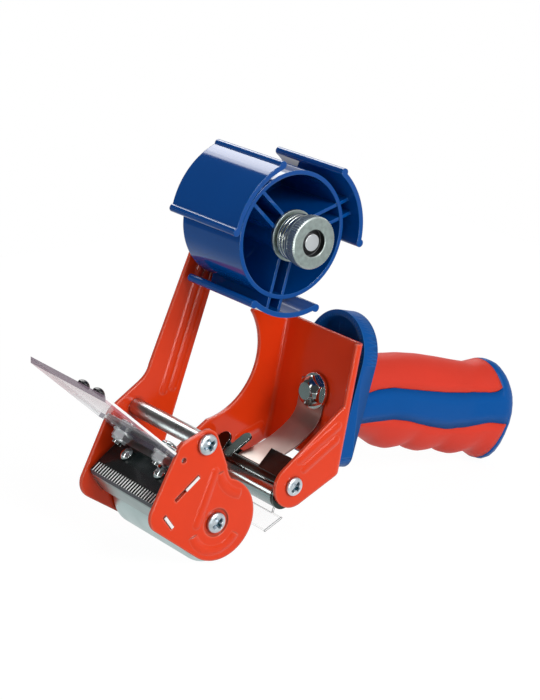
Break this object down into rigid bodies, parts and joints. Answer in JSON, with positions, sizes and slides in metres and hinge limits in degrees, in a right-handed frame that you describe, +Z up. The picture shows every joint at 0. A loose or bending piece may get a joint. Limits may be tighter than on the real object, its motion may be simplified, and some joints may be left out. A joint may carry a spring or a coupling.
{
  "type": "packing tape dispenser",
  "caption": "Hand-held packing tape dispenser: red steel frame, blue braked tape hub, front roller, serrated cutter under a clear flap, and a blue and red pistol grip.",
  "frame": {"origin": "middle of the part seen from above, on the surface it stands on", "axes": "+X from the cutter back to the end of the grip, +Y towards the side plate that carries the hub arm, +Z up"},
  "size_m": [0.2739, 0.0702, 0.1875],
  "materials": {
    "red_paint": "gloss red stoved paint on pressed steel",
    "chrome": "polished chrome plate",
    "zinc": "bright zinc plate",
    "roller_zinc": "fine turned grey roller",
    "black_nylon": "moulded black nylon",
    "black_cover": "gloss black moulding",
    "blade_steel": "ground blade steel",
    "clear_plastic": "clear plastic sheet",
    "spring_steel": "satin spring steel",
    "blue_plastic": "satin blue moulded plastic",
    "red_rubber": "soft red moulded grip",
    "hub_plastic": "gloss royal blue moulded plastic"
  },
  "bodies": {
    "frame": {"main_frame": "red_paint", "near_side_plate": "red_paint", "upper_spacer_bar": "chrome", "spacer_screw_near": "zinc", "spacer_screw_far": "zinc", "front_axle": "zinc", "axle_screw_near": "zinc", "axle_screw_far": "zinc", "blade_carrier": "zinc", "blade_cover": "black_cover", "cover_screw_near": "chrome", "cover_screw_far": "chrome", "serrated_blade": "blade_steel", "clear_flap": "clear_plastic", "flap_screw_near": "zinc", "flap_screw_far": "zinc", "flap_nut_near": "zinc", "flap_nut_far": "zinc", "flap_rivet_inner": "zinc", "flap_rivet_outer": "zinc", "guide_bracket": "zinc", "guide_axle": "zinc", "lug_screw_near": "zinc", "lug_screw_far": "zinc", "leaf_spring": "spring_steel", "tape_stop": "clear_plastic", "handle_bolt": "chrome", "bolt_washer": "chrome", "handle_body": "blue_plastic", "upper_grip": "red_rubber", "lower_grip": "red_rubber", "hub_axle": "zinc", "axle_lock_nut": "zinc", "brake_washer": "zinc", "brake_sleeve": "black_nylon", "brake_spring": "chrome"},
    "hub": {"tape_hub": "hub_plastic"},
    "front_roller_set": {"front_roller": "roller_zinc", "front_bush_near": "black_nylon", "front_bush_far": "black_nylon"},
    "guide_roller_set": {"guide_roller": "chrome"},
    "brake_plate": {"pressure_washer": "zinc"},
    "brake_knob": {"brake_nut": "zinc"}
  },
  "joints": [
    {"name": "hub_spin", "type": "hinge", "parent": "frame", "child": "hub", "pos_m": [-0.02697, 0, 0.1499], "axis": [0, 1, 0], "continuous": true},
    {"name": "front_roller_spin", "type": "hinge", "parent": "frame", "child": "front_roller_set", "pos_m": [-0.07327, 0, 0.0205], "axis": [0, 1, 0], "continuous": true},
    {"name": "guide_roller_spin", "type": "hinge", "parent": "frame", "child": "guide_roller_set", "pos_m": [-0.03227, 0, 0.0235], "axis": [0, 1, 0], "continuous": true},
    {"name": "brake_plate_slide", "type": "slide", "parent": "frame", "child": "brake_plate", "axis": [0, 1, 0], "range_m": [0, 0.0025], "deforming": ["brake_spring"]},
    {"name": "brake_nut_turn", "type": "hinge", "parent": "brake_plate", "child": "brake_knob", "pos_m": [-0.02697, 0, 0.1499], "axis": [0, 1, 0], "range_deg": [0, 720]}
  ],
  "couplings": [
    {"joint": "brake_nut_turn", "follows": "brake_plate_slide", "rad_per_m": 5026.5}
  ]
}
